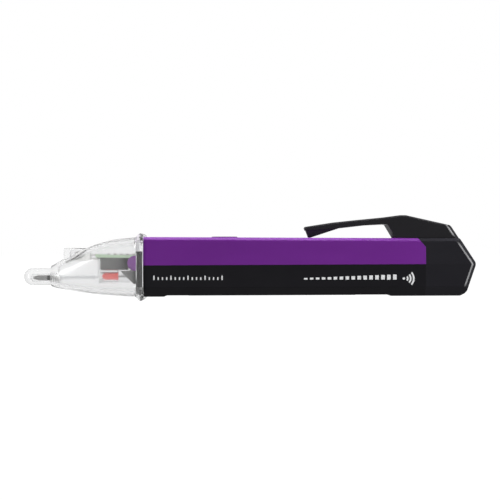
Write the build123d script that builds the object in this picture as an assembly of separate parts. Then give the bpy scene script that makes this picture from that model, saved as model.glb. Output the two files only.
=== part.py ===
from build123d import *
import math
import os

# Pen-shaped non contact voltage tester, millimetres.
# X runs along the pen with the probe tip at -X, Z is up, the clip is on top.
# The origin is under the middle of the overall box, at the lowest point of the finger guard.

# ---- overall ----
OVERALL_LENGTH = 152.15
TIP_X = -OVERALL_LENGTH / 2
TAIL_X = OVERALL_LENGTH / 2
WIDE = 40.0

# ---- grip body ----
BODY_FRONT_X = -35.05
SHELL_REAR_X = 59.3
SHELL_CORNER_X = 56.9
SHELL_CORNER_Z = 18.1
BODY_TOP_FRONT = 21.45
BODY_TOP_REAR = 21.05
BODY_BOTTOM_FRONT = 1.40
BODY_BOTTOM_REAR = 1.75
BODY_HALF_WIDTH = 10.0
SEAM_Z_FRONT = 11.95
SEAM_Z_REAR = 12.40
CORNER_RADIUS = 0.6
CAVITY_TOP = 19.55
CAVITY_BOTTOM = 3.45
CAVITY_HALF_WIDTH = 8.4
FRONT_WALL = 1.6
LIP_HEIGHT = 1.0
LIP_THICKNESS = 0.75

# ---- nose ----
TUBE_RADIUS = 2.84
TUBE_AXIS_Z = 8.07
PIN_AXIS_Z = 7.78
PIN_BORE_RADIUS = 0.98
PIN_TAPER = 1.9
SPRING_BORE_RADIUS = 1.5
LEAD_RADIUS = 0.38
SLEEVE_RADIUS = 0.9
NOSE_FRONT_X = -66.8
NOSE_CAVITY_FRONT_X = -63.9
NOSE_WALL = 1.8
GUARD_FRONT_X = -37.5
GUARD_PROUD = 1.25
NECK_FRONT_X = -37.4
NECK_INSET = 1.15
NECK_TOP = 16.6
BOSS_FRONT_X = -62.4
BOSS_RADIUS = 2.7
BOSS_AXIS_Z = 15.05

# ---- power ----
CELL_RADIUS = 5.15
CELL_LENGTH = 44.5
CELL_AXIS_Z = 9.2
CELL_FRONT_X = -28.6
CELL_NUB_LENGTH = 0.8
CELL_NUB_RADIUS = 1.85

# ---- circuit board ----
BOARD_BOTTOM = 14.45
BOARD_THICKNESS = 1.0
BOARD_TOP = BOARD_BOTTOM + BOARD_THICKNESS
BOARD_FRONT_X = -51.1
BOARD_REAR_X = 5.7

SCREW_FRONT_X = -25.5
SCREW_REAR_X = 2.6
SCREW_Y = 5.55

# ---- button and switch ----
BUTTON_X = -8.05
BUTTON_LENGTH = 8.8
BUTTON_WIDTH = 5.4
BUTTON_TOP = 21.64
BUTTON_GAP = 0.25
GASKET_WALL = 0.6
GASKET_TOP = 21.3
PLUNGER_RADIUS = 1.5
PLUNGER_TOP = 18.3

# ---- tail and clip ----
CLIP_WIDTH = 13.6
CLIP_HINGE_X = 47.4
CLIP_HINGE_Z = 27.02
CLIP_HINGE_RADIUS = 1.18
CLIP_HINGE_GAP = 0.17
CLIP_UNDERSIDE = 21.28
CLIP_BEVEL = 1.15
TAIL_BEVEL = 1.3


def cross_plane(x):
    """Plane across the pen at station x: local axes are Y and Z."""
    return Plane(origin=(x, 0, 0), x_dir=(0, 1, 0), z_dir=(1, 0, 0))


def side_prism(points, half_width=WIDE):
    """Outline given in X and Z, extruded evenly to both sides."""
    face = make_face(Plane.XZ * Polyline(*points, close=True))
    return extrude(face, half_width, both=True)


def x_cylinder(radius, x0, x1, y=0.0, z=0.0):
    """Round bar along X from x0 to x1."""
    bar = Rot(0, 90, 0) * Cylinder(radius, x1 - x0)
    return Pos((x0 + x1) / 2, y, z) * bar


def box_between(x0, x1, y0, y1, z0, z1):
    """Block given by its limits."""
    block = Box(x1 - x0, y1 - y0, z1 - z0)
    return Pos((x0 + x1) / 2, (y0 + y1) / 2, (z0 + z1) / 2) * block


def stadium(x, length, width, z0, z1):
    """Upright slot-shaped block, long side along X."""
    outline = SlotOverall(length, width)
    return Pos(x, 0, z0) * extrude(outline, z1 - z0)


def eight_sided_face(x, top, bottom, half_width, seam, grow=0.0):
    """Grip cross-section: flat top and bottom, two-facet sides, cut corners."""
    right = [
        (8.0 + 0.6 * grow, top + grow),
        (9.4 + grow, top - 0.85 + 0.6 * grow),
        (half_width + grow, seam),
        (9.6 + grow, bottom + 3.1 - 0.4 * grow),
        (7.2 + 0.6 * grow, bottom - grow),
    ]
    left = [(-y, z) for y, z in reversed(right)]
    outline = make_face(Polyline(*(right + left), close=True))
    rounded = fillet(outline.vertices(), CORNER_RADIUS)
    return cross_plane(x) * rounded


def body_top_at(x):
    """Height of the top flat at station x."""
    share = (x - BODY_FRONT_X) / (SHELL_REAR_X - BODY_FRONT_X)
    return BODY_TOP_FRONT + share * (BODY_TOP_REAR - BODY_TOP_FRONT)


def body_bottom_at(x):
    """Height of the bottom flat at station x."""
    share = (x - BODY_FRONT_X) / (SHELL_REAR_X - BODY_FRONT_X)
    return BODY_BOTTOM_FRONT + share * (BODY_BOTTOM_REAR - BODY_BOTTOM_FRONT)


def seam_at(x):
    """Height of the parting line at station x."""
    share = (x - BODY_FRONT_X) / (SHELL_REAR_X - BODY_FRONT_X)
    return SEAM_Z_FRONT + share * (SEAM_Z_REAR - SEAM_Z_FRONT)


def body_bar():
    """The gently tapered outside of grip and tail, before any cuts."""
    faces = []
    for x in (BODY_FRONT_X, TAIL_X + 1.0):
        faces.append(eight_sided_face(x, body_top_at(x), body_bottom_at(x), BODY_HALF_WIDTH, seam_at(x)))
    return loft(faces, ruled=True)


def cavity_bar(x0, x1, shrink=0.0):
    """The straight inner space of grip and tail."""
    w = CAVITY_HALF_WIDTH - shrink
    right = [
        (w - 1.2, CAVITY_TOP - shrink),
        (w - 0.3, CAVITY_TOP - 1.0 - shrink),
        (w, 12.2),
        (w - 0.3, 6.0),
        (w - 2.2, CAVITY_BOTTOM + shrink),
    ]
    left = [(-y, z) for y, z in reversed(right)]
    face = make_face(Polyline(*(right + left), close=True))
    return Pos(x0, 0, 0) * extrude(cross_plane(0) * face, x1 - x0)


def bottom_recess():
    """Shallow label recess with sloped ends, cut across the whole width."""
    outline = [
        (-28.5, -3.0),
        (-28.5, 1.3),
        (-27.2, 1.87),
        (47.0, 2.18),
        (48.1, 1.6),
        (48.1, -3.0),
    ]
    return side_prism(outline)


def grip_grooves():
    """Row of shallow cross grooves under the rear pad."""
    grooves = []
    for index in range(5):
        x = 53.4 + 3.4 * index
        z = body_bottom_at(x)
        groove = Pos(x, 0, z - 0.62) * Rot(90, 0, 0) * Cylinder(0.9, 14.0)
        grooves.append(groove)
    return grooves


# ---- clear nose ----


def rounded_station(x, top, bottom, half_width, power):
    """Nose cross-section between a circle and a rounded square."""
    centre = (top + bottom) / 2
    half_height = (top - bottom) / 2
    points = []
    count = 40
    for index in range(count):
        angle = 2 * math.pi * index / count
        c = math.cos(angle)
        s = math.sin(angle)
        spread = abs(c / half_width) ** power + abs(s / half_height) ** power
        radius = spread ** (-1 / power)
        points.append((radius * c, centre + radius * s))
    curve = Spline(*points, periodic=True)
    return cross_plane(x) * make_face(curve)


def nose_stations(wall):
    """Lofted stations of the nose, moved inward by wall."""
    rows = [
        (NOSE_FRONT_X, 11.73, 4.83, 3.45, 2.0),
        (-63.2, 13.80, 3.88, 4.95, 2.05),
        (-58.5, 16.25, 3.10, 6.55, 2.15),
        (-53.8, 18.20, 2.42, 7.95, 2.3),
        (-49.0, 19.80, 1.95, 9.05, 2.5),
        (-44.0, 20.85, 1.58, 9.80, 2.8),
        (GUARD_FRONT_X, 21.45, 1.25, 10.25, 3.1),
        (BODY_FRONT_X, 21.55, 1.20, 10.35, 3.2),
    ]
    faces = []
    for x, top, bottom, half_width, power in rows:
        faces.append(rounded_station(x, top - wall, bottom + wall, half_width - wall, power))
    return faces


def finger_guard():
    """Rim that flares out of the nose, rounds over a crest and drops to a flat rear face."""
    rise = [
        (-37.9, -0.12),
        (-37.5, 0.05),
        (-37.2, 0.32),
        (-36.9, 0.66),
        (-36.6, 0.98),
        (-36.3, GUARD_PROUD - 0.06),
        (-36.0, GUARD_PROUD),
        (-35.7, GUARD_PROUD - 0.1),
        (-35.5, GUARD_PROUD - 0.3),
        (BODY_FRONT_X, GUARD_PROUD - 0.62),
    ]
    faces = []
    for x, grow in rise:
        faces.append(eight_sided_face(x, 21.45, 1.25, BODY_HALF_WIDTH, SEAM_Z_FRONT, grow))
    return loft(faces, ruled=True)


def eight_sided_bar(x0, x1, grow):
    """Straight bar with the grip's cross-section at the nose joint, grown or shrunk evenly."""
    face = eight_sided_face(0, 21.45, 1.25, BODY_HALF_WIDTH, SEAM_Z_FRONT, grow)
    return Pos(x0, 0, 0) * extrude(face, x1 - x0)


def nose_cone():
    """One clear moulding: probe tube, tapered nose, lamp boss and finger guard."""
    body = loft(nose_stations(0.0))
    tube_end = TIP_X + TUBE_RADIUS
    body += x_cylinder(TUBE_RADIUS, tube_end, NOSE_FRONT_X + 1.5, z=TUBE_AXIS_Z)
    body += Pos(tube_end, 0, TUBE_AXIS_Z) * Sphere(TUBE_RADIUS)
    boss = x_cylinder(BOSS_RADIUS, BOSS_FRONT_X, -53.0, z=BOSS_AXIS_Z)
    body += boss

    body += finger_guard()

    cavity = loft(nose_stations(NOSE_WALL))
    cavity -= box_between(-80, NOSE_CAVITY_FRONT_X, -WIDE, WIDE, -WIDE, WIDE)
    body -= cavity
    body -= eight_sided_bar(NECK_FRONT_X - 0.15, BODY_FRONT_X + 0.5, -NECK_INSET)
    bore_end = TIP_X + 2.25 + PIN_BORE_RADIUS
    body -= x_cylinder(PIN_BORE_RADIUS, bore_end, NOSE_FRONT_X, z=PIN_AXIS_Z)
    body -= Pos(bore_end, 0, PIN_AXIS_Z) * Sphere(PIN_BORE_RADIUS)
    body -= x_cylinder(SPRING_BORE_RADIUS, NOSE_FRONT_X - 0.3, NOSE_CAVITY_FRONT_X + 0.5, z=PIN_AXIS_Z)
    body -= x_cylinder(1.7, -60.4, -52.0, z=BOSS_AXIS_Z)
    return body


def sensor_pin():
    """Metal sensing pin with a tapered end, lying in the probe tube."""
    radius = PIN_BORE_RADIUS - 0.12
    front = TIP_X + 3.1
    pin = Pos(front + PIN_TAPER / 2, 0, PIN_AXIS_Z) * Rot(0, 90, 0) * Cone(0.4 * radius, radius, PIN_TAPER)
    pin += x_cylinder(radius, front + PIN_TAPER, NOSE_FRONT_X - 0.35, z=PIN_AXIS_Z)
    pin += x_cylinder(1.42, NOSE_FRONT_X - 0.3, NOSE_FRONT_X + 0.35, z=PIN_AXIS_Z)
    pin += x_cylinder(0.9, NOSE_FRONT_X - 0.4, NOSE_FRONT_X + 0.35, z=PIN_AXIS_Z)
    return pin


def coil(radius, wire, pitch, height, x0, z):
    """Helical spring along X."""
    path = Helix(pitch, height, radius)
    start = Plane(origin=path @ 0, z_dir=path % 0)
    spring = sweep(start * Circle(wire), path=path)
    return Pos(x0, 0, z) * Rot(0, 90, 0) * spring


def sensor_spring():
    """Small spring that presses the pin forward and carries its signal."""
    return coil(1.1, 0.2, 0.75, 2.25, NOSE_FRONT_X + 0.56, PIN_AXIS_Z)


def bent_wire(points, radius):
    """Round wire through a list of corner points."""
    path = FilletPolyline(*points, radius=0.5)
    start = Plane(origin=path @ 0, z_dir=path % 0)
    return sweep(start * Circle(radius), path=path)


def sensor_lead():
    """Insulated lead from the pin spring back and up to the board."""
    seat = x_cylinder(1.3, -63.75, -63.35, z=PIN_AXIS_Z)
    route = [(-63.5, 0, PIN_AXIS_Z), (-50.65, 0, PIN_AXIS_Z), (-50.65, 0, BOARD_BOTTOM)]
    return seat + bent_wire(route, LEAD_RADIUS)


def lead_sleeve():
    """Soft tube slipped over the straight run of the lead."""
    sleeve = x_cylinder(SLEEVE_RADIUS, -63.2, -51.6, z=PIN_AXIS_Z)
    return sleeve - x_cylinder(LEAD_RADIUS + 0.04, -64.0, -51.0, z=PIN_AXIS_Z)


def lamp(x_front, z, flange_x):
    """Round 3 mm lamp lying along X with its dome at -X."""
    radius = 1.5
    body = x_cylinder(radius, x_front + radius, flange_x, z=z)
    body += Pos(x_front + radius, 0, z) * Sphere(radius)
    body += x_cylinder(1.6, flange_x - 0.6, flange_x, z=z)
    return body


def alarm_led():
    return lamp(-49.45, TUBE_AXIS_Z, -43.9)


def alarm_led_leads():
    """Two legs, back from the lamp and up to the board behind the sounder."""
    legs = []
    for side in (-1, 1):
        y = 1.0 * side
        path = [(-43.9, y, TUBE_AXIS_Z), (-39.7, y, TUBE_AXIS_Z), (-39.7, y, BOARD_BOTTOM)]
        legs.append(bent_wire(path, 0.22))
    return legs


def led_carrier():
    """Clear holder under the sounder with a bore for the alarm lamp."""
    holder = box_between(-50.2, -40.3, -3.3, 3.3, 5.8, 10.35)
    holder = fillet(holder.edges().filter_by(Axis.X), 0.5)
    holder -= x_cylinder(1.55, -49.8, -44.5, z=TUBE_AXIS_Z)
    holder -= x_cylinder(1.65, -44.55, -43.85, z=TUBE_AXIS_Z)
    holder -= box_between(-43.9, -40.0, -1.6, 1.6, TUBE_AXIS_Z - 0.6, TUBE_AXIS_Z + 0.6)
    return holder


def torch_led():
    return lamp(-59.2, BOSS_AXIS_Z, -53.4)


def torch_led_leads():
    """Two legs that straddle the front edge of the board."""
    upper = [
        (-53.4, 0.0, BOSS_AXIS_Z + 0.5),
        (-52.3, 0.0, BOSS_AXIS_Z + 0.5),
        (-51.8, 0.0, BOARD_TOP + 0.22),
        (-48.6, 0.0, BOARD_TOP + 0.22),
    ]
    lower = [
        (-53.4, 0.9, BOSS_AXIS_Z - 0.6),
        (-52.3, 0.9, BOSS_AXIS_Z - 0.6),
        (-51.8, 0.9, BOARD_BOTTOM - 0.22),
        (-50.4, 0.9, BOARD_BOTTOM - 0.22),
    ]
    legs = []
    for points in (upper, lower):
        path = Polyline(*points)
        start = Plane(origin=path @ 0, z_dir=path % 0)
        legs.append(sweep(start * Circle(0.22), path=path, transition=Transition.RIGHT))
    return legs


def buzzer():
    """Disc sounder hanging under the board, with its sound hole below."""
    disc = Pos(-45.3, 0, (10.4 + BOARD_BOTTOM) / 2) * Cylinder(4.85, BOARD_BOTTOM - 10.4)
    disc = fillet(disc.edges().sort_by(Axis.Z)[0], 0.4)
    disc -= Pos(-42.0, 0, 10.4) * Cylinder(0.7, 1.6)
    return disc


def circuit_board():
    """Narrow in the nose, wider in the grip, with screw and contact holes."""
    board = box_between(BOARD_FRONT_X, -31.5, -4.9, 4.9, BOARD_BOTTOM, BOARD_TOP)
    board += box_between(-30.0, BOARD_REAR_X, -6.6, 6.6, BOARD_BOTTOM, BOARD_TOP)
    board += box_between(-32.0, -29.5, -4.9, 4.9, BOARD_BOTTOM, BOARD_TOP)
    for x in (SCREW_FRONT_X, SCREW_REAR_X):
        for side in (-1, 1):
            board -= Pos(x, side * SCREW_Y, BOARD_BOTTOM + 0.5) * Cylinder(0.62, 2)
    return board


def board_chip():
    """Small controller package with eight legs on the board top."""
    chip = box_between(-22.4, -17.5, -1.95, 1.95, BOARD_TOP + 0.15, BOARD_TOP + 1.55)
    chip = chamfer(chip.edges().group_by(Axis.Z)[-1], 0.25)
    for index in range(4):
        x = -21.86 + 1.27 * index
        for side in (-1, 1):
            y0 = min(1.9 * side, 3.0 * side)
            y1 = max(1.9 * side, 3.0 * side)
            chip += box_between(x - 0.2, x + 0.2, y0, y1, BOARD_TOP, BOARD_TOP + 0.6)
    return chip


def board_passives():
    """Chip resistors and capacitors in two rows on the board top."""
    parts = []
    for index in range(6):
        x = -36.5 - 2.1 * index
        parts.append(box_between(x - 0.4, x + 0.4, 2.2, 3.8, BOARD_TOP, BOARD_TOP + 0.5))
        parts.append(box_between(x - 0.4, x + 0.4, -3.8, -2.2, BOARD_TOP, BOARD_TOP + 0.5))
    for index in range(3):
        y = -4.2 + 1.9 * index
        parts.append(box_between(-27.6, -26.0, y - 0.4, y + 0.4, BOARD_TOP, BOARD_TOP + 0.8))
    return parts


def power_switch():
    """Square push switch body with a bore for its plunger."""
    body = box_between(BUTTON_X - 3, BUTTON_X + 3, -3, 3, BOARD_TOP, 17.2)
    body = chamfer(body.edges().group_by(Axis.Z)[-1], 0.3)
    body -= Pos(BUTTON_X, 0, 17.0) * Cylinder(PLUNGER_RADIUS + 0.06, 2.2)
    for side in (-1, 1):
        for x in (-2.2, 2.2):
            y0 = min(2.9 * side, 4.3 * side)
            y1 = max(2.9 * side, 4.3 * side)
            body += box_between(BUTTON_X + x - 0.35, BUTTON_X + x + 0.35, y0, y1, BOARD_TOP, BOARD_TOP + 0.3)
    return body


def switch_plunger():
    """Round plunger that stands out of the switch body."""
    plunger = Pos(BUTTON_X, 0, (16.4 + PLUNGER_TOP) / 2) * Cylinder(PLUNGER_RADIUS, PLUNGER_TOP - 16.4)
    return chamfer(plunger.edges().sort_by(Axis.Z)[-1], 0.2)


# ---- button ----


def power_button():
    """Domed oval key with a retaining flange below the shell top."""
    key = stadium(BUTTON_X, BUTTON_LENGTH, BUTTON_WIDTH, 19.0, BUTTON_TOP)
    key = fillet(key.edges().group_by(Axis.Z)[-1], 0.3)
    key += stadium(BUTTON_X, BUTTON_LENGTH + 1.6, BUTTON_WIDTH + 1.6, 18.45, 19.2)
    return key


def button_gasket():
    """Dark seal ring between the key and the shell."""
    length = BUTTON_LENGTH + 2 * BUTTON_GAP
    width = BUTTON_WIDTH + 2 * BUTTON_GAP
    ring = stadium(BUTTON_X, length + 2 * GASKET_WALL, width + 2 * GASKET_WALL, 19.6, GASKET_TOP)
    ring = fillet(ring.edges().group_by(Axis.Z)[-1], 0.15)
    ring -= stadium(BUTTON_X, length, width, 19.0, 22.0)
    return ring


# ---- shells ----


def shell_blank():
    """Outside of the grip with its inner space and front opening removed."""
    blank = body_bar()
    blank -= box_between(SHELL_REAR_X, 90, -WIDE, WIDE, -WIDE, WIDE)
    blank -= cavity_bar(BODY_FRONT_X + FRONT_WALL, 90)
    blank -= box_between(-60, 0, -6.9, 6.9, 4.6, 16.4)
    blank -= bottom_recess()
    for groove in grip_grooves():
        blank -= groove
    return blank


def seam_lip(extra=0.0):
    """Inner half of the wall that rises from the lower into the upper shell."""
    outline = [
        (BODY_FRONT_X + FRONT_WALL + 0.4, seam_at(BODY_FRONT_X) - 0.8),
        (48.0, seam_at(48.0) - 0.8),
        (48.0, seam_at(48.0) + LIP_HEIGHT + extra),
        (BODY_FRONT_X + FRONT_WALL + 0.4, seam_at(BODY_FRONT_X) + LIP_HEIGHT + extra),
    ]
    band = side_prism(outline)
    outer = cavity_bar(BODY_FRONT_X, 48.0, -LIP_THICKNESS)
    inner = cavity_bar(BODY_FRONT_X - 1, 49.0)
    return band & (outer - inner)


def side_plates(outline, y0, y1):
    """The same flat outline as a thin plate on both sides."""
    plates = side_prism(outline, y1)
    plates -= side_prism([(-90, -20), (90, -20), (90, 40), (-90, 40)], y0)
    return plates


def upper_shell(blank):
    """Purple half: top, upper sides, cut rear corner, round front tongues."""
    region = side_prism([
        (BODY_FRONT_X - 1, seam_at(BODY_FRONT_X)),
        (SHELL_REAR_X, SHELL_CORNER_Z - 5.7),
        (SHELL_REAR_X, SHELL_CORNER_Z),
        (SHELL_CORNER_X, 20.85),
        (SHELL_CORNER_X, 30),
        (BODY_FRONT_X - 1, 30),
    ])
    shell = blank & region
    shell -= seam_lip(0.08)

    scoop = Pos(-6.0, 0, 60.65) * Rot(90, 0, 0) * Cylinder(40.0, 30.0)
    scoop &= stadium(-6.0, 15.4, 9.6, 19.8, 23.0)
    shell -= scoop
    hole_length = BUTTON_LENGTH + 2 * (BUTTON_GAP + GASKET_WALL)
    hole_width = BUTTON_WIDTH + 2 * (BUTTON_GAP + GASKET_WALL)
    shell -= stadium(BUTTON_X, hole_length, hole_width, 18.0, 23.0)

    arm = side_plates([(-37.9, 10.1), (-31.0, 10.1), (-31.0, 15.2), (-37.9, 15.2)], 5.75, 6.6)
    disc = Pos(-37.9, 0, 12.65) * Rot(90, 0, 0) * Cylinder(2.55, 2 * 6.6)
    disc -= Pos(-37.9, 0, 12.65) * Rot(90, 0, 0) * Cylinder(4.0, 2 * 5.75)
    ribs = side_plates([(-33.6, 12.6), (-31.0, 12.6), (-31.0, 15.2), (-33.6, 15.2)], 6.5, 8.35)
    shell += arm
    shell += disc
    shell += ribs
    return shell


def lower_shell(blank):
    """Black half: bottom, lower sides, and the dark neck with wedges inside the nose."""
    region = side_prism([
        (BODY_FRONT_X - 1, seam_at(BODY_FRONT_X)),
        (SHELL_REAR_X, SHELL_CORNER_Z - 5.7),
        (SHELL_REAR_X, -5),
        (BODY_FRONT_X - 1, -5),
    ])
    shell = blank & region
    shell += seam_lip()

    outer = eight_sided_bar(NECK_FRONT_X, BODY_FRONT_X + 0.3, -NECK_INSET - 0.12)
    inner = loft([
        rounded_station(NECK_FRONT_X - 1, 18.9, 3.8, 7.1, 3.1),
        rounded_station(BODY_FRONT_X + 1.0, 18.9, 3.8, 7.1, 3.1),
    ])
    neck = outer - inner
    neck -= box_between(-60, 0, -WIDE, WIDE, NECK_TOP, 40)
    above_seam = box_between(BODY_FRONT_X, 0, -WIDE, WIDE, SEAM_Z_FRONT - 0.5, 40)
    shell += neck - above_seam
    root_x = NECK_FRONT_X + 0.4
    tongue = [(root_x, 5.9), (root_x, 10.1), (-42.6, 10.1), (-41.9, 9.2), (-38.2, 5.9)]
    shell += side_plates(tongue, 6.98, 7.55)
    return shell


def inner_chassis():
    """Cell tray with raised sides that carry the board."""
    tray = box_between(-30.2, 48.6, -6.35, 6.35, CAVITY_BOTTOM, 10.2)
    tray += box_between(-30.2, 5.9, -6.35, 6.35, CAVITY_BOTTOM, BOARD_BOTTOM)
    tray -= box_between(-29.0, 60, -5.3, 5.3, CELL_AXIS_Z, 20)
    tray -= x_cylinder(CELL_RADIUS + 0.12, -29.0, 60, z=CELL_AXIS_Z)
    corner = [(7.5, CAVITY_BOTTOM + 1.6), (7.5, 0), (4.9, 0), (4.9, CAVITY_BOTTOM)]
    for side in (-1, 1):
        points = [(side * y, z) for y, z in corner]
        wedge = extrude(cross_plane(-40) * make_face(Polyline(*points, close=True)), 100)
        tray -= wedge
    for x in (SCREW_FRONT_X, SCREW_REAR_X):
        for side in (-1, 1):
            tray += Pos(x, side * 5.85, 12.6) * Cylinder(1.15, 3.7)
            tray -= Pos(x, side * SCREW_Y, 13.0) * Cylinder(0.5, 3.0)
    tray -= x_cylinder(CELL_RADIUS + 0.12, -29.0, 60, z=CELL_AXIS_Z)
    for x in (-14.0, 22.0, 38.0):
        window = box_between(x - 4, x + 4, -WIDE, WIDE, 6.0, 8.6)
        tray -= window
    return tray


def board_screw(x, side):
    """Small pan-head screw through the board into the tray."""
    y = side * SCREW_Y
    screw = Pos(x, y, BOARD_TOP + 0.4) * Cylinder(1.05, 0.8)
    screw = fillet(screw.edges().sort_by(Axis.Z)[-1], 0.3)
    screw += Pos(x, y, 13.85) * Cylinder(0.5, 3.3)
    screw -= Pos(x, y, BOARD_TOP + 0.75) * Box(1.3, 0.3, 0.5)
    screw -= Pos(x, y, BOARD_TOP + 0.75) * Box(0.3, 1.3, 0.5)
    return screw


def positive_contact():
    """Sprung plate between the tray front wall and the first cell."""
    plate = box_between(-29.0, -28.65, -3.2, 3.2, 6.2, BOARD_BOTTOM)
    return plate


def negative_strip():
    """Flat strip along the tray that brings the tail contact to the board."""
    strip = box_between(1.0, 58.2, 6.35, 6.6, 8.9, 9.9)
    strip += box_between(-1.0, 1.0, 6.35, 6.6, 8.9, BOARD_BOTTOM)
    return strip


def cell(x0):
    """Round dry cell with its raised positive nub toward the tip."""
    can = x_cylinder(CELL_RADIUS, x0 + CELL_NUB_LENGTH, x0 + CELL_LENGTH, z=CELL_AXIS_Z)
    can = fillet(can.edges().filter_by(GeomType.CIRCLE), 0.4)
    nub = x_cylinder(CELL_NUB_RADIUS, x0, x0 + CELL_NUB_LENGTH + 0.5, z=CELL_AXIS_Z)
    return can + nub


def rating_label():
    """Blank plate stuck in the bottom recess."""
    plate = side_prism([(-20.0, 1.90), (-20.0, 1.76), (36.0, 1.99), (36.0, 2.13)], 5.6)
    return plate


# ---- tail ----


def tail_cap():
    """Closed end with two rear facets, bevelled rim, and a skirt inside the grip."""
    profile = [
        (40.0, -10.0),
        (40.0, 40.0),
        (58.2, 40.0),
        (75.85, 13.25),
        (TAIL_X, 12.55),
        (76.0, 11.85),
        (73.15, 3.5),
        (72.5, 2.65),
        (71.3, 1.95),
        (69.0, 1.2),
        (60.0, -10.0),
    ]
    flat = BODY_HALF_WIDTH - TAIL_BEVEL
    core = side_prism(profile, flat)
    flank_face = make_face(Plane.XZ * Polyline(*profile, close=True))
    flank = Pos(0, flat, 0) * extrude(flank_face, 3.0, taper=45)
    core += flank
    core += mirror(flank, Plane.XZ)
    front = side_prism([
        (SHELL_REAR_X, -12),
        (SHELL_REAR_X, SHELL_CORNER_Z),
        (SHELL_CORNER_X, 20.85),
        (SHELL_CORNER_X, 42),
        (80, 42),
        (80, -12),
    ])
    cap = body_bar() & core & front
    cap -= cavity_bar(40, 68.4, 1.25)
    cap -= box_between(68.0, 71.4, -5.0, 5.0, 6.0, 17.0)

    skirt = cavity_bar(49.6, SHELL_REAR_X + 3.0, 0.18) - cavity_bar(49.0, SHELL_REAR_X + 4.0, 1.25)
    skirt -= box_between(40, SHELL_REAR_X, -3.4, 3.4, -WIDE, 8.0)
    cap += skirt
    cap -= x_cylinder(CELL_RADIUS + 0.3, 40, 68.4, z=CELL_AXIS_Z)
    cap -= Pos(63.0, 0, 20.2) * Cylinder(1.15, 5.0)
    for groove in grip_grooves():
        cap -= groove
    return cap


def spring_plate():
    """Tail contact plate with a finger that meets the long strip."""
    plate = box_between(67.9, 68.35, -5.6, 5.6, 6.4, 15.0)
    plate += box_between(56.4, 68.35, 5.55, 5.85, 11.8, 13.4)
    return plate


def battery_spring():
    """Coil that presses the cells forward."""
    return coil(3.3, 0.3, 1.7, 6.4, 61.2, CELL_AXIS_Z)


def clip_block(cap):
    """Wedge-shaped root of the pocket clip, standing on the tail."""
    outline = [
        (46.95, 25.80),
        (49.35, CLIP_UNDERSIDE),
        (57.7, CLIP_UNDERSIDE),
        (57.7, 20.92),
        (70.85, 20.92),
        (70.85, 21.1),
        (68.0, 25.4),
        (52.9, 28.8),
        (51.0, 28.8),
        (47.4, 28.24),
    ]
    block = side_prism(outline, CLIP_WIDTH / 2)
    rear = [e for e in block.edges() if e.center().X > 67.7 and abs(e.center().Y) > 6 and e.length > 3]
    block = chamfer(rear, CLIP_BEVEL)
    rims = []
    for edge in block.edges():
        middle = edge.center()
        if abs(middle.Y) > 6.5 and middle.Z > 26.0 and 50.0 < middle.X < 66.0 and edge.length > 2.0:
            rims.append(edge)
    block = chamfer(rims, 0.5)
    block -= cap
    seat = Pos(CLIP_HINGE_X, 0, CLIP_HINGE_Z) * Rot(90, 0, 0)
    block -= seat * Cylinder(CLIP_HINGE_RADIUS + CLIP_HINGE_GAP, WIDE)
    block -= side_prism([
        (CLIP_HINGE_X, CLIP_HINGE_Z),
        (CLIP_HINGE_X + 0.35, 30.0),
        (40.0, 30.0),
        (40.0, 24.0),
        (CLIP_HINGE_X - 0.3, 24.0),
    ])
    block -= Pos(63.0, 0, 20.0) * Cylinder(0.9, 11.0)
    return block


def clip_arm():
    """Slim springy arm with a turned-down tip and a round bend line at its root."""
    outline = [
        (18.8, 24.85),
        (20.35, 21.36),
        (21.2, 21.31),
        (30.6, 24.45),
        (39.7, 25.5),
        (CLIP_HINGE_X - 0.35, CLIP_HINGE_Z - CLIP_HINGE_RADIUS + 0.02),
        (CLIP_HINGE_X, CLIP_HINGE_Z),
        (CLIP_HINGE_X - 0.35, CLIP_HINGE_Z + CLIP_HINGE_RADIUS - 0.02),
        (44.9, 28.0),
        (34.6, 27.0),
        (28.5, 26.35),
        (24.2, 25.7),
    ]
    side = make_face(Polyline(*outline, close=True))
    side += Pos(CLIP_HINGE_X, CLIP_HINGE_Z) * Circle(CLIP_HINGE_RADIUS)
    arm = extrude(Plane.XZ * side, WIDE, both=True)
    plan = make_face(Polyline((10, -3.6), (60, -7.87), (60, 7.87), (10, 3.6), close=True))
    arm &= Pos(0, 0, 15) * extrude(plan, 20)
    rims = []
    for edge in arm.edges():
        middle = edge.center()
        on_top = middle.Z > 24.9 + 0.075 * (middle.X - 18.0)
        if on_top and abs(middle.Y) > 3.5 and edge.length > 2.0 and middle.X < 43.0:
            rims.append(edge)
    return fillet(rims, 0.4)


def clip_screw():
    """Self-tapping screw driven up from inside the cap into the clip."""
    screw = Pos(63.0, 0, 21.3) * Cylinder(0.9, 7.6)
    screw += Pos(63.0, 0, 17.7) * Cylinder(1.9, 1.2)
    screw -= Pos(63.0, 0, 17.2) * Box(2.4, 0.45, 0.8)
    screw -= Pos(63.0, 0, 17.2) * Box(0.45, 2.4, 0.8)
    return screw


os.makedirs("parts", exist_ok=True)

blank = shell_blank()
cap = tail_cap()

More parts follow.
